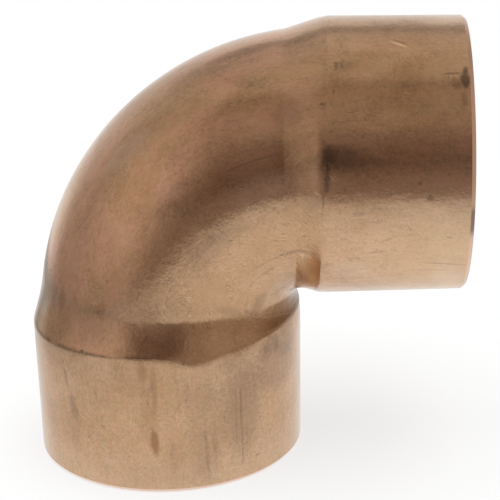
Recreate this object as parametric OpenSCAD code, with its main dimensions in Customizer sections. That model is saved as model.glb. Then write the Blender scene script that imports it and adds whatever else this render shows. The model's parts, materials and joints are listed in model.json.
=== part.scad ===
// Right-angle copper pipe elbow with a plain socket for a soldered tube at each end.
// The lower mouth lies on z = 0 round the origin, and the upper mouth faces +X.
// Lengths are in millimetres.

/* [Tube and wall] */
// Outside diameter of the tube that each socket takes
tube_od = 66.68; // [54:0.01:80]
// Gap on the radius between tube and socket, filled by the solder
solder_gap = 0.06; // [0.03:0.01:0.12]
// Wall thickness of the copper
wall = 1.65; // [1.2:0.05:2.2]

/* [Sockets] */
// Depth of each socket from its mouth to the crease where the shoulder starts
socket_depth = 36.5; // [25:0.1:50]
// Slope of the shoulder against the axis of its socket, in degrees
shoulder_angle = 20; // [16:0.5:26]
// Clear distance at the crotch from each crease to the side of the other socket
crotch_gap = 7.1; // [5:0.1:9]

/* [Mouths] */
// Length of the bevel round the outside of each mouth
bevel_length = 1.0; // [0.4:0.1:2]
// Depth of the bevel round the outside of each mouth
bevel_depth = 0.8; // [0.3:0.05:0.9]
// Broken edge round the inside of each mouth
edge_break = 0.25; // [0.1:0.05:0.3]

/* [Bend] */
// Radius of the throat, on the inside of the bend
throat_radius = 10.4; // [8.5:0.1:13]

/* [Hidden] */
$fn = 72;
// Turn of the bend, in degrees
turn = 90;
// Depth to which the end of a shoulder lies under the skin of the bend
shoulder_bury = 1.8;
// Length by which a cutting shape passes the face that it cuts
pass = 1;
// The bend keeps the size of the tube, and the sockets are expanded to go over it.
bend_r = tube_od / 2;
bend_bore_r = bend_r - wall;
socket_bore_r = tube_od / 2 + solder_gap;
socket_r = socket_bore_r + wall;
// Distances from the crossing of the two socket axes
line_radius = bend_r + throat_radius;
crease = socket_r + crotch_gap;
centre_to_end = crease + socket_depth;
// Side of the cube that trims the bend at its creases
block = 2 * centre_to_end;

// Places a shape drawn along +Z from the mouth of a socket at the upper socket.
module at_upper() {
    translate([centre_to_end, 0, centre_to_end])
        rotate([0, -90, 0])
            children();
}

// Quarter ring round the inside of the bend, from the upper axis to the lower axis.
module turned_bar(r) {
    translate([line_radius, 0, centre_to_end - line_radius])
        rotate([90, 0, 0])
            rotate([0, 0, 90])
                rotate_extrude(angle = turn)
                    translate([line_radius, 0])
                        circle(r = r);
}

// Solid shoulder on the lower axis: it slopes in from the socket and ends inside the bend.
module shoulder(r_socket, r_bend) {
    r_end = r_bend - shoulder_bury;
    run = (r_socket - r_end) / tan(shoulder_angle);
    translate([0, 0, socket_depth])
        rotate_extrude()
            polygon([
                [0, -pass],
                [r_socket, -pass],
                [r_socket, 0],
                [r_end, run],
                [0, run]
            ]);
}

// Filled shape of the bend with both shoulders, for the outer or the inner skin.
module bend_form(r_socket, r_bend) {
    union() {
        turned_bar(r_bend);
        shoulder(r_socket, r_bend);
        at_upper()
            shoulder(r_socket, r_bend);
    }
}

// Cup that stands on its mouth, open at both ends.
module cup() {
    rotate_extrude()
        polygon([
            [socket_bore_r + edge_break, 0],
            [socket_r - bevel_depth, 0],
            [socket_r, bevel_length],
            [socket_r, socket_depth],
            [socket_bore_r, socket_depth],
            [socket_bore_r, edge_break]
        ]);
}

module lower_socket() {
    color([0.76, 0.50, 0.34])
        cup();
}

// The bend is trimmed at both creases, where the sockets meet it face to face.
module bend() {
    color([0.70, 0.45, 0.31])
        intersection() {
            difference() {
                bend_form(socket_r, bend_r);
                bend_form(socket_bore_r, bend_bore_r);
            }
            translate([crease - block, -block / 2, socket_depth])
                cube(block);
        }
}

module upper_socket() {
    color([0.76, 0.50, 0.34])
        at_upper()
            cup();
}

lower_socket();
bend();
upper_socket();
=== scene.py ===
import json
import math

import bpy
from bpy.props import FloatProperty, FloatVectorProperty, IntProperty, PointerProperty
from mathutils import Matrix, Vector


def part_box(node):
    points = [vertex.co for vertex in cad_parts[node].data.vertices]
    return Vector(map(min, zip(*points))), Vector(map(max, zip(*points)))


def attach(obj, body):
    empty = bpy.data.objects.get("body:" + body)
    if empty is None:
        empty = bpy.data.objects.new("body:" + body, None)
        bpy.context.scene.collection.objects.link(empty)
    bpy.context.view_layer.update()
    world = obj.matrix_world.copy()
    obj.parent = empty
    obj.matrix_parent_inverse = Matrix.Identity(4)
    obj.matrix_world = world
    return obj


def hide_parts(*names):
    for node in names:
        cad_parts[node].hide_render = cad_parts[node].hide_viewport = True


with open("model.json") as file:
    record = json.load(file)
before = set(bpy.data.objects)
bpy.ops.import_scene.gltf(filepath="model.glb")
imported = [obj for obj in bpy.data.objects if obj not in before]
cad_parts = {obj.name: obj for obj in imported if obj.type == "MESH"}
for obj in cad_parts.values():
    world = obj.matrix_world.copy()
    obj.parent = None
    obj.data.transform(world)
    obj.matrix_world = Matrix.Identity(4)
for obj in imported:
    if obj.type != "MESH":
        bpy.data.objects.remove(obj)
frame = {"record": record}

bl_info = {
    "name": "Copper Pipe Elbow",
    "version": (1, 0, 0),
    "blender": (4, 5, 0),
    "location": "3D View > Sidebar > Elbow",
    "description": "Builds a soldered copper elbow with its worn finish on a small studio table",
    "category": "Object",
}

MM = 0.001
# Distance under which points of neighbouring grids are one, and angle at which an edge is sharp
WELD = 0.004 * MM
SHARP_EDGE = math.radians(38.0)
# Faces along each grid of a skin
SOCKET_FACES, SOCKET_BORE_FACES = 34, 12
BEND_FACES, BEND_BORE_FACES = 150, 60
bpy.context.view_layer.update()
CUP_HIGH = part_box("lower_socket")[1]
MOUTHS = {mount["name"]: mount for mount in frame["record"]["mounts"]}
BORE_RADIUS = MOUTHS["lower_socket"]["dims"]["r_mm"] * MM
CENTRE_TO_END = MOUTHS["upper_socket"]["pos_m"][0]


def number_setting(name, description, default, **kind):
    return FloatProperty(name=name, description=description, default=default, **kind)


def length_setting(*about):
    return number_setting(*about, unit="LENGTH")


def share_setting(*about):
    return number_setting(*about, subtype="FACTOR")


def angle_setting(*about):
    return number_setting(*about, subtype="ANGLE")


def triple_setting(name, description, default, kind):
    return FloatVectorProperty(
        name=name, description=description, default=default, subtype=kind, size=3
    )


def colour_setting(*about):
    return triple_setting(*about, "COLOR")


def place_setting(*about):
    return triple_setting(*about, "TRANSLATION")


class ElbowSizes(bpy.types.PropertyGroup):
    """Sizes of the elbow, in the frame of the solids"""

    socket_radius: length_setting("Socket radius", "Outside radius of each socket", CUP_HIGH[0])
    bore_radius: length_setting("Bore radius", "Inside radius of each socket", BORE_RADIUS)
    socket_depth: length_setting(
        "Socket depth", "Length of each socket from its mouth to its crease", CUP_HIGH[2]
    )
    centre_to_end: length_setting(
        "Centre to end",
        "Distance from the crossing of the socket axes to each mouth",
        CENTRE_TO_END,
    )
    heel_radius: length_setting(
        "Heel radius",
        "Radius of the outside of the bend, from the crossing of the crease planes",
        75.1 * MM,
    )
    lower_throat: length_setting(
        "Lower throat",
        "Distance from the same crossing to the inside of the bend at the lower crease",
        8.0 * MM,
    )
    upper_throat: length_setting(
        "Upper throat",
        "Distance from the same crossing to the inside of the bend at the upper crease",
        8.4 * MM,
    )
    throat_corner: number_setting(
        "Throat corner", "Sharpness of the inside of the bend, where 2 is a plain arc", 5.5
    )
    half_width: length_setting(
        "Half width", "Half the width of the bend across the plane of the axes", 32.8 * MM
    )
    throat_pinch: share_setting(
        "Throat pinch",
        "Share by which the bend is narrower towards the throat than at its middle",
        0.04,
    )
    shoulder_length: length_setting(
        "Shoulder length",
        "Length of each shoulder at the side of the bend, from the crease to its foot",
        9.7 * MM,
    )
    lower_curl: number_setting(
        "Lower curl",
        "Extra steepness of the lower shoulder at its crease, where 0 is a plain cone",
        0.15,
    )
    upper_curl: number_setting(
        "Upper curl",
        "Extra steepness of the upper shoulder at its crease, where 0 is a plain cone",
        0.6,
    )
    shoulder_slope: angle_setting(
        "Shoulder slope",
        "Slope of the shoulder next to the crease, over which the crease is rounded",
        math.radians(20.0),
    )
    lower_crease: length_setting(
        "Lower crease", "Length of the rounding on each side of the lower crease", 0.8 * MM
    )
    upper_crease: length_setting(
        "Upper crease", "Length of the rounding on each side of the upper crease", 1.6 * MM
    )
    crease_wander: length_setting(
        "Crease wander", "Distance by which the crease strays from its plane", 0.35 * MM
    )
    crease_swell: length_setting(
        "Crease swell",
        "How much wider than its nominal radius a socket is at the crease",
        0.38 * MM,
    )
    mouth_draw: length_setting(
        "Mouth draw",
        "How much narrower than its nominal radius the upper socket is at the mouth",
        0.12 * MM,
    )
    mouth_lean: length_setting(
        "Mouth lean",
        "How much shorter the upper socket is at the throat than at the heel",
        1.0 * MM,
    )
    bevel_length: length_setting(
        "Bevel length", "Length of the bevel round the outside of each mouth", 1.0 * MM
    )
    bevel_depth: length_setting(
        "Bevel depth", "Depth of the bevel round the outside of each mouth", 0.85 * MM
    )
    edge_break: length_setting(
        "Edge break", "Broken edge round the inside of each mouth", 0.25 * MM
    )
    ripple: length_setting(
        "Ripple", "Height of the shallow waves that forming leaves in the wall", 0.10 * MM
    )
    round_count: IntProperty(
        name="Faces round", description="Number of faces round the tube", default=192
    )


class CopperFinish(bpy.types.PropertyGroup):
    """Colours and gloss of the worn copper"""

    clean: colour_setting(
        "Clean copper", "Colour where the copper is least tarnished", (0.60, 0.39, 0.24)
    )
    warm: colour_setting(
        "Warm tarnish", "Colour of the thin golden-brown tarnish", (0.48, 0.285, 0.155)
    )
    rose: colour_setting(
        "Rose tarnish", "Colour of the pinkish tarnish on the heel of the bend", (0.61, 0.355, 0.24)
    )
    # The dark colour also paints shade along the creases.
    dark: colour_setting(
        "Dark tarnish",
        "Colour of the thick tarnish and of dirt in the creases",
        (0.15, 0.095, 0.068),
    )
    brown: colour_setting(
        "Brown stain", "Colour of dried flux and heat stains", (0.30, 0.155, 0.075)
    )
    gold: colour_setting(
        "Golden tarnish", "Colour of the yellowish flecks in the tarnish", (0.49, 0.35, 0.195)
    )
    pale: colour_setting(
        "Pale rim", "Colour of the handled copper near the mouths", (0.76, 0.585, 0.435)
    )
    bare: colour_setting("Bare copper", "Colour of the cut rims", (0.84, 0.58, 0.46))
    # This colour is painted shade: it darkens the lower shoulder in the crotch of the bend.
    heat: colour_setting(
        "Heat tarnish", "Colour of the tarnish in the crotch of the bend", (0.19, 0.08, 0.026)
    )
    scratch: colour_setting(
        "Fresh scratch", "Colour of the copper in a fresh scratch", (0.82, 0.59, 0.37)
    )
    # The soot colour also paints a dark reflection on the bevel of the upper mouth.
    soot: colour_setting("Soot", "Colour of the blackest smudges", (0.055, 0.048, 0.036))
    gloss: share_setting("Roughness", "Roughness of the least worn copper", 0.16)


class StudioSettings(bpy.types.PropertyGroup):
    """Camera and light of the small studio"""

    camera_place: place_setting(
        "Camera place", "Where the camera stands", (42.46 * MM, -428.68 * MM, 207.97 * MM)
    )
    camera_aim: place_setting(
        "Camera aim", "Point at the centre of the picture", (22.75 * MM, 0.0, 52.78 * MM)
    )
    camera_roll: angle_setting(
        "Camera roll", "Turn of the camera about its line of sight", math.radians(1.77)
    )
    camera_lens: number_setting(
        "Lens", "Focal length on a sensor 36 mm wide, in millimetres", 125.0
    )
    table_radius: length_setting(
        "Table radius", "Distance at which the pale table has faded out", 290.0 * MM
    )
    dome_radius: length_setting(
        "Dome radius", "Radius of the toned dome that only the metal mirrors", 900.0 * MM
    )
    table_glow: share_setting(
        "Table glow", "Share of the table's white that the object's shadow leaves alone", 0.7
    )


class Wire:
    """An output socket that takes part in formulas, each step of which becomes a Math node"""

    def __init__(self, tree, socket=None):
        self.tree = tree
        self.socket = socket

    def node(self, kind, settings=None, values=None, out=0):
        """Adds a node of any kind: its settings first, then the values or links of its sockets."""
        made = self.tree.nodes.new(kind)
        for name, value in (settings or {}).items():
            if name == "stops":
                self.set_stops(made.color_ramp, value)
            else:
                setattr(made, name, value)
        for key, value in (values or {}).items():
            if isinstance(value, Wire):
                self.tree.links.new(value.socket, made.inputs[key])
            else:
                made.inputs[key].default_value = value
        return Wire(self.tree, made.outputs[out])

    @staticmethod
    def set_stops(ramp, stops):
        while len(ramp.elements) < len(stops):
            ramp.elements.new(1.0)
        for element, (place, colour) in zip(ramp.elements, stops):
            element.position = place
            element.color = (*colour, 1.0)

    def math(self, operation, *others, clamp=False):
        values = dict(enumerate((self, *others)))
        return self.node("ShaderNodeMath", {"operation": operation, "use_clamp": clamp}, values)

    def __add__(self, other):
        return self.math("ADD", other)

    __radd__ = __add__

    def __mul__(self, other):
        return self.math("MULTIPLY", other)

    __rmul__ = __mul__

    def __sub__(self, other):
        return self.math("SUBTRACT", other)

    def __rsub__(self, other):
        return self.node("ShaderNodeMath", {"operation": "SUBTRACT"}, {0: other, 1: self})

    def __truediv__(self, other):
        return self.math("DIVIDE", other)

    def __rtruediv__(self, other):
        return self.node("ShaderNodeMath", {"operation": "DIVIDE"}, {0: other, 1: self})

    def __pow__(self, other):
        return self.math("POWER", other)

    def __neg__(self):
        return self.math("MULTIPLY", -1.0)

    def clamp(self):
        return self.math("ADD", 0.0, clamp=True)

    def absolute(self):
        return self.math("ABSOLUTE")

    def positive(self):
        return self.math("MAXIMUM", 0.0)

    def root(self):
        return self.positive().math("SQRT")

    def cos(self):
        return self.math("COSINE")

    def sin(self):
        return self.math("SINE")

    def smooth(self, low, high):
        """0 below low and 1 above high with a soft step between, or the reverse if low is above."""
        settings = {"interpolation_type": "SMOOTHSTEP"}
        if low <= high:
            ends = {"From Min": low, "From Max": high, "To Min": 0.0, "To Max": 1.0}
        else:
            ends = {"From Min": high, "From Max": low, "To Min": 1.0, "To Max": 0.0}
        return self.node("ShaderNodeMapRange", settings, {"Value": self, **ends})

    def vector(self, y, z):
        return self.node("ShaderNodeCombineXYZ", None, {0: self, 1: y, 2: z})

    def part(self, axis):
        return self.node("ShaderNodeSeparateXYZ", None, {0: self}, out="XYZ".index(axis))

    def vector_math(self, operation, *others, out=0):
        values = dict(enumerate((self, *others)))
        return self.node("ShaderNodeVectorMath", {"operation": operation}, values, out)

    def times(self, factors):
        """A vector with each of its parts multiplied."""
        return self.vector_math("MULTIPLY", factors)

    def plus(self, other):
        return self.vector_math("ADD", other)

    def dot(self, other):
        return self.vector_math("DOT_PRODUCT", other, out=1)

    def length(self):
        return self.vector_math("LENGTH", out=1)

    def turned(self, angles):
        """A vector turned by three angles, in degrees."""
        settings = {"rotation_type": "EULER_XYZ"}
        euler = tuple(math.radians(a) for a in angles)
        return self.node("ShaderNodeVectorRotate", settings, {"Vector": self, "Rotation": euler})

    def noise(self, size, detail=2.0, rough=0.5, warp=0.0):
        """Soft noise from 0 to 1 whose blobs are about that many units across."""
        values = {"Vector": self, "Scale": 1.0 / size, "Detail": detail}
        values.update({"Roughness": rough, "Distortion": warp})
        return self.node("ShaderNodeTexNoise", None, values)

    def tint(self, first, second):
        """The first colour where this value is 0, and the second where it is 1."""
        settings = {"data_type": "RGBA", "clamp_factor": True}
        ends = {6: first if isinstance(first, Wire) else (*first, 1.0)}
        ends[7] = second if isinstance(second, Wire) else (*second, 1.0)
        return self.node("ShaderNodeMix", settings, {0: self, **ends}, out=2)


def add_object(name, data):
    """A new object in the scene that shows this mesh, lamp or camera."""
    made = bpy.data.objects.new(name, data)
    bpy.context.scene.collection.objects.link(made)
    return made


class SkinTree:
    """A Geometry Nodes tree that lays grids of faces by formula and joins them into one skin"""

    def __init__(self, name, inputs):
        self.tree = bpy.data.node_groups.new(name, "GeometryNodeTree")
        self.names = {}
        for label, kind, value in inputs:
            item = self.tree.interface.new_socket(label, in_out="INPUT", socket_type=kind)
            item.default_value = value
            self.names[label] = item.identifier
        self.tree.interface.new_socket("Skin", in_out="OUTPUT", socket_type="NodeSocketGeometry")
        self.group = self.tree.nodes.new("NodeGroupInput")
        self.start = Wire(self.tree)
        self.sheets = []

    def size(self, label):
        return Wire(self.tree, self.group.outputs[label])

    def sheet(self, along, formula):
        """Adds a grid whose points go where the formula of (way along, angle round) puts them."""
        values = {"Size X": 1.0, "Size Y": 1.0, "Vertices X": along + 1}
        values["Vertices Y"] = self.size("Faces Round") + 1
        grid = self.start.node("GeometryNodeMeshGrid", None, values)
        flat = self.start.node("GeometryNodeInputPosition")
        way = flat.part("X") + 0.5
        angle = (flat.part("Y") + 0.5) * math.tau
        place, unrolled = formula(way, angle)
        named = grid.node(
            "GeometryNodeStoreNamedAttribute",
            {"data_type": "FLOAT_VECTOR", "domain": "POINT"},
            {"Geometry": grid, "Name": "unrolled", "Value": unrolled},
        )
        laid = named.node("GeometryNodeSetPosition", None, {"Geometry": named, "Position": place})
        self.sheets.append(laid)

    def close(self, material):
        """Joins the grids, welds their seams and gives the skin its material."""
        join = self.tree.nodes.new("GeometryNodeJoinGeometry")
        for sheet in reversed(self.sheets):
            self.tree.links.new(sheet.socket, join.inputs[0])
        joined = Wire(self.tree, join.outputs[0])
        near = {"Geometry": joined, "Distance": WELD}
        weld = joined.node("GeometryNodeMergeByDistance", None, near)
        smooth = {"Geometry": weld, "Shade Smooth": True}
        soft = weld.node("GeometryNodeSetShadeSmooth", None, smooth)
        bent = soft.node("GeometryNodeInputMeshEdgeAngle").math("GREATER_THAN", SHARP_EDGE)
        hard = {"Geometry": soft, "Selection": bent, "Shade Smooth": False}
        soft = soft.node("GeometryNodeSetShadeSmooth", {"domain": "EDGE"}, hard)
        real = soft.node("GeometryNodeRealizeInstances", None, {"Geometry": soft})
        done = real.node("GeometryNodeSetMaterial", None, {"Geometry": real, "Material": material})
        end = self.tree.nodes.new("NodeGroupOutput")
        self.tree.links.new(done.socket, end.inputs[0])

    def mesh(self, name, settings):
        """Runs the tree once with these settings and returns a plain object with the result."""
        bench = add_object(name + "_bench", bpy.data.meshes.new(name + "_bench"))
        modifier = bench.modifiers.new("Skin", "NODES")
        modifier.node_group = self.tree
        for label, value in settings.items():
            modifier[self.names[label]] = value
        graph = bpy.context.evaluated_depsgraph_get()
        made = bpy.data.meshes.new_from_object(bench.evaluated_get(graph), depsgraph=graph)
        bench.modifiers.clear()
        bpy.data.objects.remove(bench)
        made.name = name
        return add_object(name, made)


NUMBER = "NodeSocketFloat"


def size_inputs(sizes, *names):
    """Inputs of a tree for the sizes that both skins share and for these, each under its title."""
    shared = ("socket_radius", "socket_depth", "centre_to_end", "crease_wander", "crease_swell")
    inputs = []
    for name in (*shared, "ripple", *names):
        inputs.append((name.replace("_", " ").title(), NUMBER, getattr(sizes, name)))
    return inputs + [
        ("Wall", NUMBER, sizes.socket_radius - sizes.bore_radius),
        ("Shoulder Rise", NUMBER, math.tan(sizes.shoulder_slope)),
        ("Faces Round", "NodeSocketInt", sizes.round_count),
    ]


def half_run(sizes):
    """Length of the bend from its middle to a crease, on the unrolled tube."""
    crease = sizes.centre_to_end - sizes.socket_depth
    return crease * math.pi / 4


# Distance on the socket, and share of it on the bend, over which the stray of a crease dies out
STRAY_REACH = 14.0 * MM
BEND_SHARE = 0.45
# Both creases lean a little towards the bend at the throat: stray at the heel and at the throat.
UPPER_HEEL, UPPER_THROAT = 1.3 * MM, 1.6 * MM
LOWER_HEEL, LOWER_THROAT = 0.3 * MM, 1.6 * MM
# The lower crease sags a little right of the front and rises to the left: degrees, width, rise.
LOWER_CREASE_WAVES = [
    (254.0, 7.5, -1.35 * MM),
    (237.0, 18.0, -0.85 * MM),
    (290.0, 26.0, 0.75 * MM),
]


def crease_stray(skin, angle, end):
    """How far a crease strays towards the upper mouth at this angle round the tube."""
    across, seed = 1.6, 7.3 * end
    cosine = angle.cos()
    ring = (cosine * across).vector(angle.sin() * across, seed)
    wander = (ring.noise(1.0, 3.0) - 0.5) * 2.0 * skin.size("Crease Wander")
    throat_side = (1.0 - cosine) * 0.5
    heel_side = 1.0 - throat_side
    at_heel, at_throat = heel_side * heel_side, throat_side * throat_side
    if end > 0:
        return wander + at_heel * UPPER_HEEL - at_throat * UPPER_THROAT
    stray = wander - at_heel * LOWER_HEEL + at_throat * LOWER_THROAT
    for place, width, rise in LOWER_CREASE_WAVES:
        away = (angle - math.radians(place)) / math.radians(width)
        stray = stray + (-(away * away)).math("EXPONENT") * rise
    return stray


def crease_swell(skin, angle, lower):
    """How far a socket stands out at its crease, at the lower one mostly on the throat side."""
    return skin.size("Crease Swell") * (1.0 - angle.cos() * 0.5 * lower)


def fade(distance, reach):
    """1 at the crease and 0 from the reach on."""
    left = 1.0 - (distance / reach).clamp()
    return left * left


def crease_length(skin, label, angle, lower):
    """Length of the rounding beside a crease, at the lower one longer on the throat side."""
    longer = 2.4
    return skin.size(label) * (1.0 + angle.cos().smooth(0.35, -0.2) * longer * lower)


def crease_rounding(skin, distance, length):
    """How far the wall lies inside the sharp crease, at a distance from it."""
    return fade(distance, length) * length * skin.size("Shoulder Rise") * 0.25


def ripple(skin, unrolled, share):
    """Shallow waves in the wall."""
    width = 16.0 * MM
    waves = unrolled.noise(width, 2.0, 0.4) - 0.5
    return waves * 2.0 * share * skin.size("Ripple")


def socket_skin(sizes, material):
    """The tree for a socket: a cup with a bevelled mouth, from its crease to the mouth and back."""
    own = ("mouth_draw", "mouth_lean", "bevel_length", "bevel_depth", "edge_break")
    inputs = size_inputs(sizes, *own)
    inputs += [("Crease Length", NUMBER, sizes.upper_crease), ("Lower", "NodeSocketBool", False)]
    skin = SkinTree("socket_skin", inputs)
    radius, wall, depth = (skin.size(label) for label in ("Socket Radius", "Wall", "Socket Depth"))
    centre_to_end = skin.size("Centre To End")
    bevel_length, bevel_depth = skin.size("Bevel Length"), skin.size("Bevel Depth")
    edge = skin.size("Edge Break")
    lower = skin.size("Lower")
    draw = skin.size("Mouth Draw") * (1.0 - lower)
    run = half_run(sizes)

    def place(r, out, angle):
        """A point of the cup at this radius and this far out from the crease."""
        side = r * angle.sin()
        height = r * angle.cos()
        near = fade(out, STRAY_REACH)
        throat_side = (1.0 - angle.cos()) * 0.5
        reach = out * (1.0 - throat_side ** 3.0 * skin.size("Mouth Lean") / depth)
        upper_at = centre_to_end - depth + reach + near * crease_stray(skin, angle, 1)
        upper = upper_at.vector(side, centre_to_end + height)
        back_angle = math.tau - angle
        lower_at = depth - out + near * crease_stray(skin, back_angle, -1)
        under = (-height).vector(-side, lower_at)
        values = {"Switch": lower, "False": upper, "True": under}
        return r.node("GeometryNodeSwitch", {"input_type": "VECTOR"}, values)

    def unroll(r, out, angle):
        """The same point on the tube laid out straight."""
        flip = 1.0 - 2.0 * lower
        x = flip * (run + out)
        return x.vector(r * angle.cos(), flip * r * angle.sin())

    def outer(way, angle):
        out = way * way * (3.0 - way) * 0.5 * (depth - bevel_length)
        spread = unroll(radius, out, angle)
        rounding = crease_rounding(skin, out, crease_length(skin, "Crease Length", angle, lower))
        ease = 4.0 * MM
        free = (out / ease).clamp() * ((depth - bevel_length - out) / ease).clamp()
        swell = crease_swell(skin, angle, lower)
        lean = swell - (swell + draw) * out / (depth - bevel_length)
        r = radius + lean - rounding + ripple(skin, spread, free * 0.6)
        return place(r, out, angle), spread

    corners = [
        (radius - draw, depth - bevel_length),
        (radius - draw - bevel_depth, depth),
        (radius - wall + edge, depth),
        (radius - wall, depth - edge),
    ]

    def rim(way, angle):
        step = way * (len(corners) - 1.0)
        r, out = corners[0]
        for index in range(len(corners) - 1):
            share = (step - float(index)).clamp()
            r = r + share * (corners[index + 1][0] - corners[index][0])
            out = out + share * (corners[index + 1][1] - corners[index][1])
        return place(r, out, angle), unroll(r, out, angle)

    def inner(way, angle):
        out = (1.0 - way) * (depth - edge)
        r = radius - wall
        return place(r, out, angle), unroll(r, out, angle)

    def crease_face(way, angle):
        out = way * 0.0
        rounding = crease_rounding(skin, out, crease_length(skin, "Crease Length", angle, lower))
        r = radius - wall + way * (wall + crease_swell(skin, angle, lower) - rounding)
        return place(r, out, angle), unroll(r, out, angle)

    skin.sheet(SOCKET_FACES, outer)
    skin.sheet(len(corners) - 1, rim)
    skin.sheet(SOCKET_BORE_FACES, inner)
    skin.sheet(1, crease_face)
    skin.close(material)
    return skin


# Length of the lower shoulder as a share of its length at the side: what the heel adds, and what
# the throat side and the very throat take off, where it ends short of the upper crease.
LOWER_SHOULDER, LOWER_HEEL_MORE, LOWER_THROAT_LESS, LOWER_CROTCH_LESS = 1.03, 0.24, 0.10, 0.08
# The same for the upper shoulder, of which the very throat gives some back.
UPPER_SHOULDER, UPPER_HEEL_LESS, UPPER_THROAT_LESS, UPPER_CROTCH_MORE = 1.0, 0.05, 0.27, 0.07
# Share of each shoulder over which its foot is soft, and extra curl of the lower one at the heel
LOWER_FOOT, UPPER_FOOT, HEEL_CURL = 0.14, 0.01, 6.0


def bend_skin(sizes, material):
    """The tree for the bend: section planes turn about the line where the crease planes cross."""
    own = ("heel_radius", "lower_throat", "upper_throat", "throat_corner", "half_width")
    own += ("throat_pinch", "shoulder_length", "lower_curl", "upper_curl")
    own += ("lower_crease", "upper_crease")
    skin = SkinTree("bend_skin", size_inputs(sizes, *own))
    radius, wall, depth = (skin.size(label) for label in ("Socket Radius", "Wall", "Socket Depth"))
    centre_to_end = skin.size("Centre To End")
    pivot = centre_to_end - depth
    run = half_run(sizes)
    quarter = math.pi / 2

    def oval_reach(throat, cosine, sine):
        """From the line of the axes to the bent tube, an oval between throat and heel."""
        heel = skin.size("Heel Radius")
        half = (heel - throat) * 0.5
        offset = (heel + throat) * 0.5 - pivot
        pinch = skin.size("Throat Pinch") * cosine.smooth(0.05, -0.75)
        width = skin.size("Half Width") * (1.0 - pinch)
        a = cosine * cosine / (half * half) + sine * sine / (width * width)
        b = -(offset * cosine) / (half * half)
        c = offset * offset / (half * half) - 1.0
        return ((b * b - a * c).root() - b) / a

    def flare(distance, length, curl, soft):
        """1 at the crease and 0 from the shoulder's foot on, steep first and soft at the foot."""
        left = 1.0 - (distance / length).clamp()
        left = left * left * (1.0 + soft) / (left + soft)
        return left * (1.0 + curl * left) / (1.0 + curl)

    def place(turn, reach, angle):
        """A point in the section plane at this turn, at this reach from the line of the axes."""
        out = pivot + reach * angle.cos()
        c, s = turn.cos(), turn.sin()
        stray = fade(out * s, STRAY_REACH * BEND_SHARE) * crease_stray(skin, angle, 1)
        stray = stray + fade(out * c, STRAY_REACH * BEND_SHARE) * crease_stray(skin, angle, -1)
        x = pivot - out * s + stray * c
        z = depth + out * c + stray * s
        return x.vector(reach * angle.sin(), z)

    def wall_reach(turn, angle):
        """Reach of the wall, how far it swells at the creases, and its distances from both."""
        cosine, sine = angle.cos(), angle.sin()
        corner = skin.size("Throat Corner")
        lower_throat, upper_throat = skin.size("Lower Throat"), skin.size("Upper Throat")
        rise = (turn.cos() / upper_throat).absolute() ** corner
        run_out = (turn.sin() / lower_throat).absolute() ** corner
        tube = oval_reach((rise + run_out) ** (-1.0 / corner), cosine, sine)
        heel_side = cosine.positive()
        throat_side = (-cosine).positive()
        heel_square = heel_side * heel_side
        near_throat, near_heel = cosine.smooth(0.3, -0.7), cosine.smooth(-0.15, 0.6)
        length = skin.size("Shoulder Length")
        out = pivot + tube * cosine
        low, high = out * turn.cos(), out * turn.sin()
        straighter = 1.0 - throat_side
        # At the heel the lower shoulder runs out softly. At the throat both are short and straight.
        lower_curl = skin.size("Lower Curl") * straighter + near_heel * HEEL_CURL
        share = LOWER_SHOULDER + heel_square * LOWER_HEEL_MORE - near_throat * LOWER_THROAT_LESS
        share = share - cosine.smooth(-0.92, -1.0) * LOWER_CROTCH_LESS
        lower = flare(low, length * share, lower_curl, LOWER_FOOT)
        share = UPPER_SHOULDER - heel_square * UPPER_HEEL_LESS - near_throat * UPPER_THROAT_LESS
        share = share + cosine.smooth(-0.6, -0.9) * UPPER_CROTCH_MORE
        upper = flare(high, length * share, skin.size("Upper Curl") * straighter, UPPER_FOOT)
        reach = tube + lower * (radius - oval_reach(lower_throat, cosine, sine))
        reach = reach + upper * (radius - oval_reach(upper_throat, cosine, sine))
        swell = lower * crease_swell(skin, angle, 1.0) + upper * crease_swell(skin, angle, 0.0)
        return reach, swell, low, high

    def graded(way):
        """Turn from the lower to the upper crease, in finer steps near the creases."""
        crowding = 0.8 / math.tau
        eased = way - (way * math.tau).sin() * crowding
        return (1.0 - eased) * quarter

    def unroll(turn, angle):
        x = (quarter * 0.5 - turn) * (run / (quarter * 0.5))
        return x.vector(radius * angle.cos(), radius * angle.sin())

    def outer(way, angle):
        turn = graded(way)
        reach, swell, low, high = wall_reach(turn, angle)
        spread = unroll(turn, angle)
        rounding = crease_rounding(skin, low, crease_length(skin, "Lower Crease", angle, 1.0))
        rounding = rounding + crease_rounding(skin, high, skin.size("Upper Crease"))
        calm, ease = 2.0 * MM, 6.0 * MM
        free = ((low.math("MINIMUM", high) - calm) / ease).clamp()
        reach = reach + swell - rounding + ripple(skin, spread, free)
        return place(turn, reach, angle), spread

    def inner(way, angle):
        turn = graded(1.0 - way)
        spread = unroll(turn, angle)
        reach, _swell, _low, _high = wall_reach(turn, angle)
        return place(turn, reach - wall, angle), spread

    def end_face(at_lower):
        def face(way, angle):
            turn = way * 0.0 + (quarter if at_lower else 0.0)
            share = way if at_lower else 1.0 - way
            lower = 1.0 if at_lower else 0.0
            label = "Lower Crease" if at_lower else "Upper Crease"
            length = crease_length(skin, label, angle, lower)
            swell = crease_swell(skin, angle, lower)
            rim = wall + swell - crease_rounding(skin, way * 0.0, length)
            spread = unroll(turn, angle)
            return place(turn, radius - wall + share * rim, angle), spread

        return face

    skin.sheet(BEND_FACES, outer)
    skin.sheet(BEND_BORE_FACES, inner)
    skin.sheet(1, end_face(False))
    skin.sheet(1, end_face(True))
    skin.close(material)
    return skin


# Radius of the laid-out tube, and of its line through the bend, in millimetres
LAID_RADIUS = 35.0
LINE_RADIUS = 44.0


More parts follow.
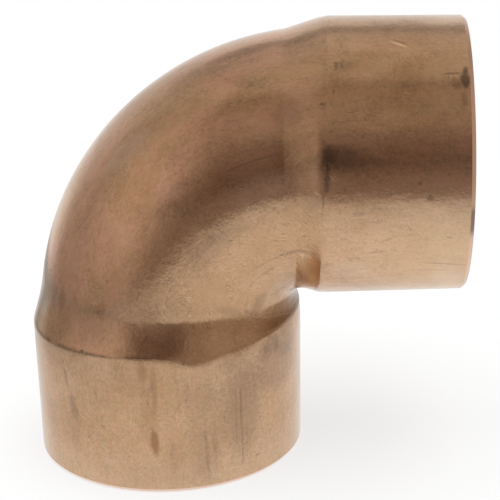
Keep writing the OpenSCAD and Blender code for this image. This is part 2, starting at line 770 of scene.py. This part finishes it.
class UnrolledTube:
    """Places on the tube as if it lay straight, in millimetres, for the copper's patterns"""

    def __init__(self, start, sizes):
        unrolled = start.node("ShaderNodeAttribute", {"attribute_name": "unrolled"}, out=1)
        self.skin = unrolled.times((1000.0, 1000.0, 1000.0))
        self.along = self.skin.part("X")
        self.heel = self.skin.part("Y")
        self.back = self.skin.part("Z")
        crease = half_run(sizes) / MM
        self.past_crease = self.along.absolute() - crease
        self.ragged = self.skin.noise(1.1, 3.0, 0.65) - 0.5
        # Two flat copies, cut open at the back. On the second the throat is shorter than the heel.
        arc = self.heel.math("ARCTAN2", -self.back) * LAID_RADIUS
        self.laid = self.along.vector(arc, 0.0)
        bent = self.along.math("MAXIMUM", -crease).math("MINIMUM", crease)
        stretched = bent * (1.0 + self.heel / LINE_RADIUS) + self.along - bent
        self.flat = stretched.vector(arc, 0.0)

    def streaks(self, width, length, lean=0.0):
        """Fine lines along the tube, which lean a little on its front."""
        leaning = self.skin.turned((0.0, 0.0, lean))
        return leaning.times((width / length, 1.0, 1.0)).noise(width, 3.0, 0.65)

    def rings(self, width, length):
        """Fine lines round the tube."""
        return self.skin.times((1.0, width / length, width / length)).noise(width, 2.0, 0.6)

    def grain(self, width, length):
        """Wavy lines along the tube, as the drawing of it leaves them."""
        leaning = self.skin.turned((0.0, 0.0, 4.0))
        return leaning.times((width / length, 1.0, 1.0)).noise(width, 3.0, 0.6, 0.9)

    def scuffs(self, width, length):
        """Fine marks in several directions, each in patches of its own, about 0 on the whole."""
        total = 0.0
        for turn, seed in ((8.0, 3.0), (-38.0, 11.0), (61.0, 23.0), (-82.0, 37.0), (30.0, 51.0)):
            laid = self.flat.turned((0.0, 0.0, turn)).plus((seed, seed * 1.7, 0.0))
            fine = laid.times((width / length, 1.0, 1.0)).noise(width, 1.0) - 0.5
            total = fine * laid.noise(6.0, 1.0).smooth(0.42, 0.62) + total
        return total

    def mark(self, along, arc, length, width, slant=0.0, ragged=0.8):
        """A patch with a ragged edge at one place, its long side turned by slant degrees."""
        laid = self.laid
        if slant:
            c, s = math.cos(math.radians(slant)), math.sin(math.radians(slant))
            laid = laid.dot((c, s, 0.0)).vector(laid.dot((-s, c, 0.0)), 0.0)
            along, arc = along * c + arc * s, arc * c - along * s
        near, far = 2.0 / length, 2.0 / width
        off = laid.vector_math("MULTIPLY_ADD", (near, far, 0.0), (-along * near, -arc * far, 0.0))
        return (off.length() + self.ragged * ragged).smooth(1.25, 0.45)


# Marks seen on the near side, in millimetres on the laid-out tube: place along it and round it from
# the front, length, width, depth of the colour and, where it has one, slant in degrees.
DARK_MARKS = [
    (67.4, 28.19, 2.6, 4.8, 0.60),
    (67.6, 30.74, 1.6, 2.0, 0.55),
    (64.4, 30.10, 5.0, 0.7, 0.45),
    (65.3, 27.49, 3.2, 2.6, 0.30, 30.0),
    (67.0, 23.02, 1.6, 5.0, 0.30),
    (36.0, 32.74, 1.5, 3.0, 0.42),
    (37.6, 32.74, 1.4, 2.6, 0.34),
    (38.2, 32.87, 7.0, 3.4, 0.26),
    (52.0, 26.92, 40.0, 2.4, 0.08),
    (52.4, 40.85, 4.6, 0.5, 0.55, -30.0),
    (34.3, 10.34, 3.0, 5.2, 0.32),
    (37.6, 8.89, 15.0, 7.5, 0.32),
    (42.0, 8.07, 18.0, 3.0, 0.18),
    (34.1, 4.22, 1.6, 8.0, 0.34),
    (32.7, 22.38, 0.8, 0.8, 0.5),
    (35.4, 25.30, 0.5, 1.5, 0.5),
    (56.3, 2.89, 1.0, 0.9, 0.42),
    (34.4, 52.18, 1.2, 1.0, 0.4),
    (20.0, 11.61, 13.0, 0.7, 0.25),
    (2.0, -3.61, 22.0, 5.0, 0.16),
    (22.0, -17.03, 14.0, 1.5, 0.30),
    (10.0, -17.03, 16.0, 0.5, 0.30),
    (6.0, -20.52, 18.0, 0.45, 0.26),
    (9.0, -24.80, 12.0, 0.4, 0.24),
    (-32.2, 33.23, 4.0, 8.0, 0.20),
    (-33.0, 19.80, 0.9, 0.9, 0.75),
    (-36.6, -38.84, 9.0, 12.0, 0.30),
    (-41.0, 26.29, 8.0, 1.2, 0.30, 8.0),
    (-49.0, 23.96, 9.0, 3.0, 0.34, 14.0),
    (-48.5, -21.74, 13.0, 0.9, 0.36),
    (-60.0, -21.96, 14.0, 0.6, 0.30),
    (-50.0, -20.30, 22.0, 0.5, 0.24),
    (-57.0, -23.38, 12.0, 0.45, 0.22),
    (-60.0, -12.02, 17.0, 1.2, 0.26, 3.0),
    (63.2, 30.04, 2.0, 0.5, 0.30),
    (64.7, 28.69, 0.6, 2.4, 0.28),
    (63.5, 28.97, 0.5, 1.8, 0.24),
    (-57.0, -14.17, 13.0, 1.6, 0.14, 3.0),
    (-48.0, -21.96, 32.0, 13.0, 0.34),
    (-63.8, -26.71, 0.5, 1.6, 0.5, 10.0),
    (14.0, -27.14, 6.0, 5.0, 0.22),
    (6.0, -31.46, 26.0, 8.0, 0.18),
    (-35.4, -32.60, 5.0, 8.0, 0.36),
    (-41.7, -35.48, 14.0, 24.0, 0.32),
    (-18.6, -4.71, 9.0, 9.0, 0.14),
    (-30.0, 17.12, 6.0, 10.0, 0.14),
    (-29.0, 21.30, 9.0, 24.0, 0.18),
    (-52.0, -12.24, 36.0, 10.0, 0.16),
    (-27.5, -21.02, 10.0, 0.9, 0.26),
    (-9.0, -27.49, 14.0, 5.0, 0.30),
    (-16.2, -19.36, 5.0, 9.0, 0.24),
    (-15.8, -26.29, 5.0, 6.0, 0.22),
    (27.5, 21.52, 6.0, 8.0, 0.22),
    (5.4, -0.70, 8.0, 6.0, 0.18),
    (-22.8, 2.50, 4.0, 13.0, 0.20),
    (-36.2, -17.95, 4.0, 6.0, 0.16),
    (-36.5, -29.33, 5.0, 6.0, 0.25),
    (58.9, -0.60, 2.2, 1.6, 0.40),
    (63.7, -11.70, 2.2, 0.6, 0.30, -8.0),
    (63.0, -20.97, 12.0, 0.5, 0.30, -7.0),
    (60.0, -23.52, 11.0, 0.5, 0.22, -5.0),
    (45.6, -15.96, 4.6, 0.6, 0.26, 2.0),
    (49.0, -11.83, 1.8, 0.8, 0.28, 20.0),
]
BROWN_MARKS = [
    (-55.4, 1.10, 8.4, 2.4, 0.85, 2.0),
    (-41.0, 0.60, 15.0, 1.8, 0.38),
    (-36.2, 3.20, 6.0, 3.4, 0.45),
    (-38.0, 5.02, 11.0, 13.0, 0.24),
    (-48.5, 2.79, 16.0, 5.0, 0.22),
    (-63.0, -6.54, 11.0, 14.0, 0.17),
    (-64.5, 5.02, 8.0, 11.0, 0.14),
    (-57.0, -3.50, 11.0, 7.0, 0.14),
    (45.0, 36.70, 12.0, 3.0, 0.20),
    (-20.0, 14.39, 12.0, 7.0, 0.16),
    (-24.7, 16.36, 3.4, 3.8, 0.34),
    (-26.0, 30.82, 4.4, 3.4, 0.40),
]
SOOT_MARKS = [
    (67.5, 28.19, 2.4, 5.0, 0.40),
    (67.7, 31.30, 1.3, 2.0, 0.35),
    (65.6, 26.64, 2.6, 2.2, 0.25, 30.0),
    (34.6, 10.12, 4.4, 5.6, 0.30),
    (36.8, 9.49, 9.0, 5.4, 0.16),
    (34.0, 5.01, 1.3, 7.0, 0.26),
    (33.3, -1.40, 0.5, 4.4, 0.34),
    (-33.1, 33.37, 1.0, 3.0, 0.30),
    (0.0, -1.00, 12.0, 3.6, 0.24),
]
PALE_MARKS = [
    (-27.0, 42.33, 8.0, 11.0, 0.55),
    (0.2, 34.09, 11.0, 7.0, 0.38),
    (3.0, -29.89, 18.0, 4.0, 0.20),
    (19.0, 4.51, 17.0, 8.0, 0.24),
    (40.0, -22.52, 10.0, 8.0, 0.25),
    (64.0, -26.43, 9.0, 14.0, 0.30),
]
BRIGHT_MARKS = [
    (26.6, -24.30, 12.0, 15.0, 0.95),
    (-28.5, -18.33, 9.0, 15.0, 0.17),
    (52.1, 39.82, 5.0, 0.75, 0.85, -30.0),
    (35.2, 4.61, 2.6, 0.35, 0.7, -50.0),
    (35.9, 4.91, 2.2, 0.3, 0.5, -50.0),
    (31.9, 0.70, 2.2, 0.4, 0.7, -25.0),
    (64.2, 1.20, 2.4, 0.35, 0.6, -30.0),
    (48.4, 1.60, 4.0, 0.35, 0.35, -18.0),
]


def blank_material(name):
    """An empty material, the start of its formulas and a way to set its surface."""
    material = bpy.data.materials.new(name)
    material.use_nodes = True
    tree = material.node_tree
    tree.nodes.clear()
    end = tree.nodes.new("ShaderNodeOutputMaterial")

    def set_surface(surface):
        tree.links.new(surface.socket, end.inputs["Surface"])

    return material, Wire(tree), set_surface


def marked(tube, colour, marks, tone, ragged=0.8):
    """The colour with a list of marks laid over it in one tone."""
    for along, arc, length, width, depth, *slant in marks:
        patch = tube.mark(along, arc, length, width, *slant, ragged=ragged)
        colour = (patch * depth).tint(colour, tone)
    return colour


def copper_material(finish, sizes):
    """Worn satin copper: clouds of tarnish, streaks, scratches, painted shade along the creases and
    bare rims.
    """
    material, start, set_surface = blank_material("worn_copper")
    tube = UnrolledTube(start, sizes)
    skin, past_crease = tube.skin, tube.past_crease
    mouth = sizes.socket_depth / MM
    bevel = sizes.bevel_length / MM

    clouds = skin.noise(24.0, 3.0, 0.55)
    mottle = skin.noise(5.0, 4.0, 0.62, 0.3)
    flecks = skin.noise(2.6, 3.0, 0.65, 0.2)
    speckle = skin.noise(0.9, 3.0, 0.7)
    drawn = tube.streaks(1.1, 22.0, -5.0)
    turned = tube.rings(0.8, 12.0)
    on_socket = past_crease.smooth(-1.0, 2.0)
    on_bend = 1.0 - on_socket
    underside = tube.along.smooth(30.0, 36.0) * tube.heel.smooth(3.0, -6.0)
    grain = (tube.grain(1.5, 12.0) - 0.5) * (on_socket * 0.35 + underside * 0.9)
    brushed = (drawn - 0.5) * (0.45 + on_socket * 0.75) + (turned - 0.5) * 0.45 - grain
    worked = 0.55 + tube.heel.smooth(12.0, -8.0) * on_bend * 0.45
    scuffs = tube.scuffs(0.34, 2.6) * worked
    nicks = scuffs.smooth(0.16, 0.30)
    scratches = (-scuffs).smooth(0.18, 0.32)

    tarnish = (clouds * 0.8 + mottle * 0.5 + brushed * 0.8 - 0.40).smooth(0.0, 0.5)
    colour = tarnish.tint(finish.clean, finish.warm)
    blush = tube.heel.smooth(6.0, 22.0) * on_bend * skin.noise(17.0, 2.0).smooth(0.38, 0.60)
    colour = (blush * 0.8).tint(colour, finish.rose)
    colour = ((flecks - 0.5).positive() * 2.0).tint(colour, finish.gold)
    colour = ((0.5 - flecks).positive() * 2.0).tint(colour, finish.rose)
    stains = (mottle * 0.6 + clouds * 0.4 + brushed * 0.25).smooth(0.56, 0.74)
    colour = (stains * 0.45).tint(colour, finish.dark)
    blotches = (0.5 - skin.noise(8.0, 3.0, 0.6, 0.4)) * tube.along.smooth(-36.0, -28.0)
    grime = (0.5 - speckle) * 1.2 + (0.5 - mottle) * 1.1 - brushed * 0.9
    grime = grime + scuffs * 1.3 + blotches * 1.2
    colour = (grime.positive() * 0.75).tint(colour, finish.dark)
    colour = ((-grime).positive() * 0.50).tint(colour, finish.bare)

    on_lower = tube.along.math("LESS_THAN", 0.0)
    handled = past_crease.smooth(mouth - 16.0, mouth - 1.0)
    colour = (handled * (0.12 + on_lower * 0.04)).tint(colour, finish.pale)
    # The lower half of the upper socket is lighter and more golden, more so towards the mouth.
    golden_underside = tube.along.smooth(36.0, 62.0) * tube.heel.smooth(0.0, -16.0)
    colour = (golden_underside * 0.36).tint(colour, finish.scratch)
    colour = (tube.heel.smooth(2.0, -8.0) * on_bend * 0.42).tint(colour, finish.warm)
    scorched = tube.along.smooth(22.0, 26.0) * tube.along.smooth(34.0, 32.0)
    scorched = scorched * tube.heel.smooth(-12.0, -2.0)
    colour = (scorched * tube.heel.smooth(22.0, 12.0) * 0.2).tint(colour, finish.brown)
    # Painted shade: the lower shoulder is painted darkest in the crotch, up to a line that rises
    # towards the throat.
    below_line = tube.heel * -1.6 - 55.7 - tube.along
    crotch = below_line.smooth(-1.0, 2.5) * past_crease.smooth(0.3, -0.8)
    crotch = crotch * tube.heel.smooth(-22.5, -31.0)
    colour = (crotch * 0.75).tint(colour, finish.heat)
    rim = past_crease.smooth(mouth - bevel - 0.05, mouth - bevel + 0.05)
    colour = (rim * 0.85).tint(colour, finish.bare)
    # Painted reflection: a dark patch on the front of the upper mouth's bevel, a little below its
    # middle, stands in for the dark front mirrored there.
    colour = (tube.mark(69.2, -7.48, 8.0, 8.6, ragged=0.2) * rim * 0.66).tint(colour, finish.soot)
    colour = marked(tube, colour, PALE_MARKS, finish.pale)
    colour = marked(tube, colour, BROWN_MARKS, finish.brown)
    on_lower_heel = on_lower * tube.heel.smooth(-2.0, 10.0)
    # Painted shade: a dark line along each crease, in patches, strongest on the heel side of the
    # lower crease.
    crease_shade = past_crease.absolute().smooth(0.6, 0.05) * skin.noise(4.0, 3.0).smooth(0.36, 0.60)
    crease_shade_depth = 0.12 + on_lower_heel * tube.heel.smooth(31.0, 28.0) * 0.34
    colour = (crease_shade * crease_shade_depth).tint(colour, finish.dark)
    colour = marked(tube, colour, DARK_MARKS, finish.dark)
    colour = marked(tube, colour, SOOT_MARKS, finish.soot, 1.8)
    colour = (nicks * 0.22).tint(colour, finish.dark)
    colour = (scratches * 0.24).tint(colour, finish.scratch)
    colour = marked(tube, colour, BRIGHT_MARKS, finish.scratch, 0.4)

    rough = finish.gloss + tarnish * 0.06 + stains * 0.06 + (speckle - 0.5) * 0.12 + rim * 0.12
    wrinkles = tube.streaks(1.8, 45.0) * tube.heel.smooth(-8.0, -30.0) * on_bend
    relief = wrinkles * 0.08 + mottle * 0.10 + speckle * 0.008 + brushed * 0.012 - scuffs * 0.014
    heights = {"Strength": 1.0, "Distance": 1.0 * MM, "Height": relief}
    bump = relief.node("ShaderNodeBump", None, heights)
    looks = {"Metallic": 1.0, "Base Color": colour, "Roughness": rough.clamp(), "Normal": bump}
    set_surface(start.node("ShaderNodeBsdfPrincipled", None, looks))
    return material


def settings_of(scene):
    return scene.elbow_sizes, scene.elbow_finish, scene.elbow_studio


def shared_copper(scene):
    """The one copper finish, made on first use."""
    sizes, finish, _studio = settings_of(scene)
    return bpy.data.materials.get("worn_copper") or copper_material(finish, sizes)


def seat(piece, node):
    """Hands a finished piece to the frame in place of its solid."""
    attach(piece, "root")
    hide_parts(node)


class ELBOW_OT_sockets(bpy.types.Operator):
    """Builds the two expanded sockets"""

    bl_idname = "elbow.sockets"
    bl_label = "Build Sockets"

    def execute(self, context):
        sizes, _finish, _studio = settings_of(context.scene)
        skin = socket_skin(sizes, shared_copper(context.scene))
        for node, lower in (("lower_socket", True), ("upper_socket", False)):
            length = sizes.lower_crease if lower else sizes.upper_crease
            piece = skin.mesh(node + "_skin", {"Lower": lower, "Crease Length": length})
            seat(piece, node)
        return {"FINISHED"}


class ELBOW_OT_bend(bpy.types.Operator):
    """Builds the bend with its two shoulders"""

    bl_idname = "elbow.bend"
    bl_label = "Build Bend"

    def execute(self, context):
        sizes, _finish, _studio = settings_of(context.scene)
        skin = bend_skin(sizes, shared_copper(context.scene))
        piece = skin.mesh("bend_skin", {"Throat Corner": sizes.throat_corner})
        seat(piece, "bend")
        return {"FINISHED"}


MIRRORED_RAYS = ("Is Glossy Ray", "Is Transmission Ray")


def ray_is(start, *kinds):
    """1 for a ray of any of these kinds, and 0 for the rest."""
    found = start.node("ShaderNodeLightPath", out=kinds[0])
    for kind in kinds[1:]:
        found = found.math("MAXIMUM", start.node("ShaderNodeLightPath", out=kind))
    return found


def stage_mesh(name, points, faces, material):
    """A mesh object that belongs to the stage."""
    mesh = bpy.data.meshes.new(name)
    mesh.from_pydata(points, [], faces)
    mesh.materials.append(material)
    return add_object(name, mesh)


TABLE_COLOUR = (0.93, 0.93, 0.93, 1.0)
# Share of the table's radius that is solid, and share of its white that the metal mirrors
TABLE_SOLID, TABLE_MIRRORED = 0.66, 0.96
# Mirrored in the metal, the table is dimmer far out and to the left: start, end, share.
TABLE_DIM_OUT = (60.0 * MM, 190.0 * MM, 0.2)
TABLE_DIM_LEFT = [(-40.0 * MM, -60.0 * MM, 0.10), (-80.0 * MM, -130.0 * MM, 0.38)]


def table(studio):
    """Pale round table top that keeps a soft shadow and fades out into the white background."""
    material, start, set_surface = blank_material("pale_table")
    place = start.node("ShaderNodeTexCoord", out=3)
    distance = place.length()
    solid = distance.smooth(studio.table_radius, studio.table_radius * TABLE_SOLID)
    near, far, share = TABLE_DIM_OUT
    dim = distance.smooth(near, far) * share
    for near, far, share in TABLE_DIM_LEFT:
        dim = dim + place.part("X").smooth(near, far) * share
    mirrored = ray_is(start, *MIRRORED_RAYS)
    seen = ray_is(start, "Is Camera Ray")
    pale = start.node("ShaderNodeBsdfDiffuse", None, {"Color": TABLE_COLOUR})
    bright = 1.0 - dim * mirrored
    white = start.node("ShaderNodeEmission", None, {"Color": bright.vector(bright, bright)})
    glow = seen * studio.table_glow + mirrored * TABLE_MIRRORED
    top = start.node("ShaderNodeMixShader", None, {0: glow, 1: pale, 2: white})
    clear = start.node("ShaderNodeBsdfTransparent")
    set_surface(start.node("ShaderNodeMixShader", None, {0: solid, 1: clear, 2: top}))
    edge = 64
    height = -0.1 * MM
    radius = studio.table_radius
    turns = [math.tau * i / edge for i in range(edge)]
    points = [(math.cos(turn) * radius, math.sin(turn) * radius, height) for turn in turns]
    return stage_mesh("table", points, [range(edge)], material)


# Tones that the dome shows from the front over the top to the back: degrees, colour.
DOME_TONES = [
    (0.0, (0.31, 0.25, 0.23)),
    (7.0, (0.24, 0.185, 0.165)),
    (15.0, (0.175, 0.13, 0.11)),
    (24.0, (0.24, 0.18, 0.16)),
    (34.0, (0.29, 0.225, 0.20)),
    (44.0, (0.44, 0.365, 0.305)),
    (64.0, (0.45, 0.37, 0.305)),
    (70.0, (0.42, 0.34, 0.275)),
    (76.0, (0.42, 0.34, 0.275)),
    (82.0, (0.59, 0.525, 0.45)),
    (98.0, (0.62, 0.555, 0.475)),
    (105.0, (0.71, 0.635, 0.565)),
    (124.0, (0.68, 0.625, 0.585)),
    (135.0, (0.74, 0.70, 0.67)),
    (146.0, (0.90, 0.88, 0.86)),
    (165.0, (0.95, 0.95, 0.94)),
    (180.0, (1.0, 1.0, 1.0)),
]
# The same for the left side, from below the horizon to the top, by height on a dome of radius 1.
LEFT_TONES = [
    (-0.5, (0.42, 0.36, 0.33)),
    (-0.2, (0.50, 0.44, 0.405)),
    (0.1, (0.60, 0.53, 0.485)),
    (0.38, (0.70, 0.62, 0.565)),
    (0.62, (0.63, 0.555, 0.50)),
    (0.78, (0.55, 0.48, 0.42)),
    (1.0, (0.54, 0.475, 0.41)),
]
# The one tone of the right side
RIGHT_TONE = (0.48, 0.395, 0.34)
# By how much parts of the dome are brighter or dimmer than their tone
STRIP_GAIN, LEFT_LOSS, LINE_LOSS, HEEL_LOSS, BEFORE_LOSS = 0.14, 0.15, 0.42, 0.2, 0.16


def ramp_stops(tones):
    """The tones as stops of a ramp from 0 to 1, with the place of its ends."""
    low, high = tones[0][0], tones[-1][0]
    return low, high, [((at - low) / (high - low), tone) for at, tone in tones]


def dome(studio):
    """Toned shell that only the metal mirrors: dark in front, warm at the sides, pale behind."""
    material, start, set_surface = blank_material("dome_tones")
    place = start.node("ShaderNodeTexCoord", out=3)
    way = place.vector_math("NORMALIZE")
    side, height = way.part("X"), way.part("Z")
    degrees = height.positive().math("ARCTAN2", -way.part("Y")) * (180.0 / math.pi)
    low, high, stops = ramp_stops(DOME_TONES)
    share = (degrees - low) / (high - low)
    middle = share.node("ShaderNodeValToRGB", {"stops": stops}, {0: share})
    low, high, stops = ramp_stops(LEFT_TONES)
    share = (height - low) / (high - low)
    left = share.node("ShaderNodeValToRGB", {"stops": stops}, {0: share})
    behind = way.part("Y")
    tone = (side + behind.smooth(0.0, 0.6) * 0.32).smooth(-0.30, -0.70).tint(middle, left)
    tone = side.smooth(0.19, 0.62).tint(tone, RIGHT_TONE)
    # A brighter strip stands to the left in front, and the left side behind it is dimmer.
    strip = side.smooth(-0.48, -0.66) * side.smooth(-0.96, -0.78) * behind.smooth(0.1, -0.2)
    beyond = side.smooth(-0.6, -0.9) * behind.smooth(-0.25, 0.05)
    level = 1.0 + strip * STRIP_GAIN - beyond * LEFT_LOSS
    # A dark line lies across the dome behind the top, and ends towards the left.
    across = degrees.smooth(125.0, 133.0) * degrees.smooth(145.0, 137.0) * side.smooth(-0.50, -0.18)
    level = level - across * LINE_LOSS
    # What the edge of the heel mirrors is dimmer.
    rim = side.smooth(-0.05, -0.40) * behind.smooth(0.3, 0.7) * height.smooth(0.0, 0.25)
    level = level - rim * HEEL_LOSS
    # The part in front of that line is dimmer on the left.
    before = degrees.smooth(96.0, 106.0) * degrees.smooth(128.0, 120.0) * side.smooth(-0.02, -0.20)
    level = level - before * BEFORE_LOSS
    glow = tone.times(level.vector(level, level))
    set_surface(start.node("ShaderNodeEmission", None, {"Color": glow}))
    rings, spokes = 42, 72
    lowest = math.radians(-40.0)
    points = []
    for ring in range(rings):
        rise = lowest + (math.pi / 2 - lowest) * ring / rings
        for spoke in range(spokes):
            turn = math.tau * spoke / spokes
            out, up = math.cos(rise) * studio.dome_radius, math.sin(rise) * studio.dome_radius
            points.append((out * math.sin(turn), -out * math.cos(turn), up))
    faces = [range((rings - 1) * spokes, rings * spokes)]
    for ring in range(rings - 1):
        for spoke in range(spokes):
            first, second = ring * spokes + spoke, ring * spokes + (spoke + 1) % spokes
            faces.append((first, second, second + spokes, first + spokes))
    shell = stage_mesh("dome", points, faces, material)
    shell.visible_camera = False
    shell.visible_diffuse = False
    shell.visible_shadow = False
    return shell


# Side of the lamp and its place in metres, its power in watts, and the light of the white surround
SOFTBOX_SIDE, SOFTBOX_PLACE, SOFTBOX_POWER = 1.3, (0.05, -0.15, 1.2), 12.0
AIR_LIGHT = 0.62


def lights():
    """One soft lamp overhead and a white surround."""
    lamp = bpy.data.lights.new("softbox", "AREA")
    lamp.shape = "SQUARE"
    lamp.size = SOFTBOX_SIDE
    lamp.energy = SOFTBOX_POWER
    holder = add_object("softbox", lamp)
    holder.location = SOFTBOX_PLACE
    holder.visible_glossy = False
    world = bpy.data.worlds.new("surround")
    bpy.context.scene.world = world
    world.use_nodes = True
    tree = world.node_tree
    tree.nodes.clear()
    start = Wire(tree)
    seen = ray_is(start, "Is Camera Ray", *MIRRORED_RAYS)
    level = AIR_LIGHT + seen * (1.0 - AIR_LIGHT)
    white = {"Color": (1.0, 1.0, 1.0, 1.0), "Strength": level}
    air = start.node("ShaderNodeBackground", None, white)
    end = tree.nodes.new("ShaderNodeOutputWorld")
    tree.links.new(air.socket, end.inputs["Surface"])


def camera(studio):
    """Camera at the photo's viewing angle."""
    data = bpy.data.cameras.new("camera")
    data.lens = studio.camera_lens
    data.sensor_width = 36.0
    data.clip_start = 0.01
    data.clip_end = 20.0
    holder = add_object("camera", data)
    place, aim = Vector(studio.camera_place), Vector(studio.camera_aim)
    level = (aim - place).to_track_quat("-Z", "Y").to_matrix().to_4x4()
    roll = Matrix.Rotation(-studio.camera_roll, 4, "Z")
    holder.matrix_world = Matrix.Translation(place) @ level @ roll
    bpy.context.scene.camera = holder


class ELBOW_OT_stage(bpy.types.Operator):
    """Sets up the table, the light and the camera"""

    bl_idname = "elbow.stage"
    bl_label = "Set Up Stage"

    def execute(self, context):
        studio = context.scene.elbow_studio
        table(studio)
        dome(studio)
        lights()
        camera(studio)
        context.scene.view_settings.view_transform = "Standard"
        return {"FINISHED"}


class ELBOW_PT_panel(bpy.types.Panel):
    """Lists the steps that build the elbow"""

    bl_idname = "ELBOW_PT_panel"
    bl_label = "Pipe Elbow"
    bl_space_type = "VIEW_3D"
    bl_region_type = "UI"
    bl_category = "Elbow"

    def draw(self, context):
        for step in (ELBOW_OT_sockets, ELBOW_OT_bend, ELBOW_OT_stage):
            self.layout.operator(step.bl_idname)
        for group in settings_of(context.scene):
            box = self.layout.box()
            for name in group.__annotations__:
                box.prop(group, name)


CLASSES = (
    ElbowSizes,
    CopperFinish,
    StudioSettings,
    ELBOW_OT_sockets,
    ELBOW_OT_bend,
    ELBOW_OT_stage,
    ELBOW_PT_panel,
)


def register():
    for cls in CLASSES:
        bpy.utils.register_class(cls)
    bpy.types.Scene.elbow_sizes = PointerProperty(type=ElbowSizes)
    bpy.types.Scene.elbow_finish = PointerProperty(type=CopperFinish)
    bpy.types.Scene.elbow_studio = PointerProperty(type=StudioSettings)


def unregister():
    del bpy.types.Scene.elbow_studio
    del bpy.types.Scene.elbow_finish
    del bpy.types.Scene.elbow_sizes
    for cls in reversed(CLASSES):
        bpy.utils.unregister_class(cls)


def main():
    register()
    bpy.ops.elbow.sockets()
    bpy.ops.elbow.bend()
    bpy.ops.elbow.stage()


if __name__ == "__main__":
    main()
